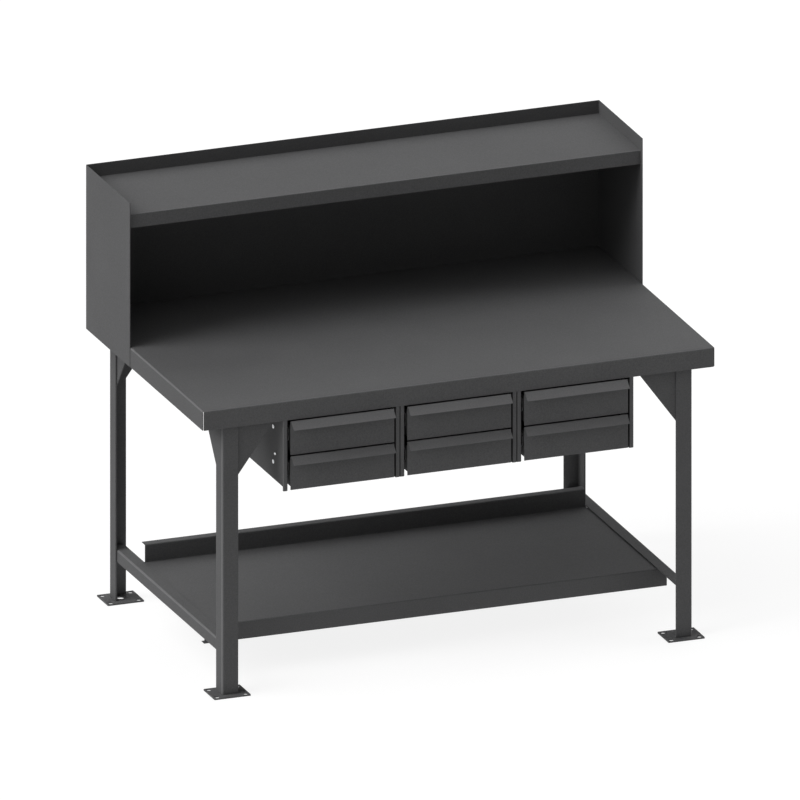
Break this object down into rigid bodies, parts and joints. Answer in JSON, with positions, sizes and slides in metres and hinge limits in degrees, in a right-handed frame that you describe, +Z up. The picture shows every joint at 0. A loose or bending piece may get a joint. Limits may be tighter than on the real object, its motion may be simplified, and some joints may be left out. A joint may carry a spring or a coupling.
{
  "type": "heavy-duty workbench",
  "caption": "Sheet-steel workbench on angle legs with anchored foot plates, a riser with a shelf, a lower shelf and side-by-side cabinets of sliding drawers under the top.",
  "frame": {"origin": "on the floor, under the middle of the bench's outer box", "axes": "+X to the right along the bench's length, +Y from the drawer fronts to the riser back, +Z up"},
  "size_m": [1.527, 0.9454, 1.2811],
  "materials": {
    "grey_coat": "dark grey powder coat, finely textured, satin",
    "zinc_plate": "bright zinc plate"
  },
  "bodies": {
    "bench": {"bench_top": "grey_coat", "top_stiffener": "grey_coat", "leg_front_left": "grey_coat", "leg_front_right": "grey_coat", "leg_rear_right": "grey_coat", "leg_rear_left": "grey_coat", "foot_plate_front_left": "grey_coat", "foot_plate_front_right": "grey_coat", "foot_plate_rear_right": "grey_coat", "foot_plate_rear_left": "grey_coat", "gusset_front_left": "grey_coat", "gusset_front_right": "grey_coat", "gusset_rear_right": "grey_coat", "gusset_rear_left": "grey_coat", "stretcher_left": "grey_coat", "stretcher_right": "grey_coat", "lower_shelf": "grey_coat", "riser_side_left": "grey_coat", "riser_side_right": "grey_coat", "riser_back": "grey_coat", "riser_shelf": "grey_coat", "cabinet_left": "grey_coat", "cabinet_middle": "grey_coat", "cabinet_right": "grey_coat", "fixed_rail_left_upper_left": "zinc_plate", "fixed_rail_left_upper_right": "zinc_plate", "fixed_rail_left_lower_left": "zinc_plate", "fixed_rail_left_lower_right": "zinc_plate", "fixed_rail_middle_upper_left": "zinc_plate", "fixed_rail_middle_upper_right": "zinc_plate", "fixed_rail_middle_lower_left": "zinc_plate", "fixed_rail_middle_lower_right": "zinc_plate", "fixed_rail_right_upper_left": "zinc_plate", "fixed_rail_right_upper_right": "zinc_plate", "fixed_rail_right_lower_left": "zinc_plate", "fixed_rail_right_lower_right": "zinc_plate"},
    "drawer_left_upper": {"drawer_front_left_upper": "grey_coat", "drawer_body_left_upper": "grey_coat", "moving_rail_left_upper_left": "zinc_plate", "moving_rail_left_upper_right": "zinc_plate"},
    "drawer_left_lower": {"drawer_front_left_lower": "grey_coat", "drawer_body_left_lower": "grey_coat", "moving_rail_left_lower_left": "zinc_plate", "moving_rail_left_lower_right": "zinc_plate"},
    "drawer_middle_upper": {"drawer_front_middle_upper": "grey_coat", "drawer_body_middle_upper": "grey_coat", "moving_rail_middle_upper_left": "zinc_plate", "moving_rail_middle_upper_right": "zinc_plate"},
    "drawer_middle_lower": {"drawer_front_middle_lower": "grey_coat", "drawer_body_middle_lower": "grey_coat", "moving_rail_middle_lower_left": "zinc_plate", "moving_rail_middle_lower_right": "zinc_plate"},
    "drawer_right_upper": {"drawer_front_right_upper": "grey_coat", "drawer_body_right_upper": "grey_coat", "moving_rail_right_upper_left": "zinc_plate", "moving_rail_right_upper_right": "zinc_plate"},
    "drawer_right_lower": {"drawer_front_right_lower": "grey_coat", "drawer_body_right_lower": "grey_coat", "moving_rail_right_lower_left": "zinc_plate", "moving_rail_right_lower_right": "zinc_plate"}
  },
  "joints": [
    {"name": "slide_left_upper", "type": "slide", "parent": "bench", "child": "drawer_left_upper", "axis": [0, -1, 0], "range_m": [0, 0.38]},
    {"name": "slide_left_lower", "type": "slide", "parent": "bench", "child": "drawer_left_lower", "axis": [0, -1, 0], "range_m": [0, 0.38]},
    {"name": "slide_middle_upper", "type": "slide", "parent": "bench", "child": "drawer_middle_upper", "axis": [0, -1, 0], "range_m": [0, 0.38]},
    {"name": "slide_middle_lower", "type": "slide", "parent": "bench", "child": "drawer_middle_lower", "axis": [0, -1, 0], "range_m": [0, 0.38]},
    {"name": "slide_right_upper", "type": "slide", "parent": "bench", "child": "drawer_right_upper", "axis": [0, -1, 0], "range_m": [0, 0.38]},
    {"name": "slide_right_lower", "type": "slide", "parent": "bench", "child": "drawer_right_lower", "axis": [0, -1, 0], "range_m": [0, 0.38]}
  ]
}
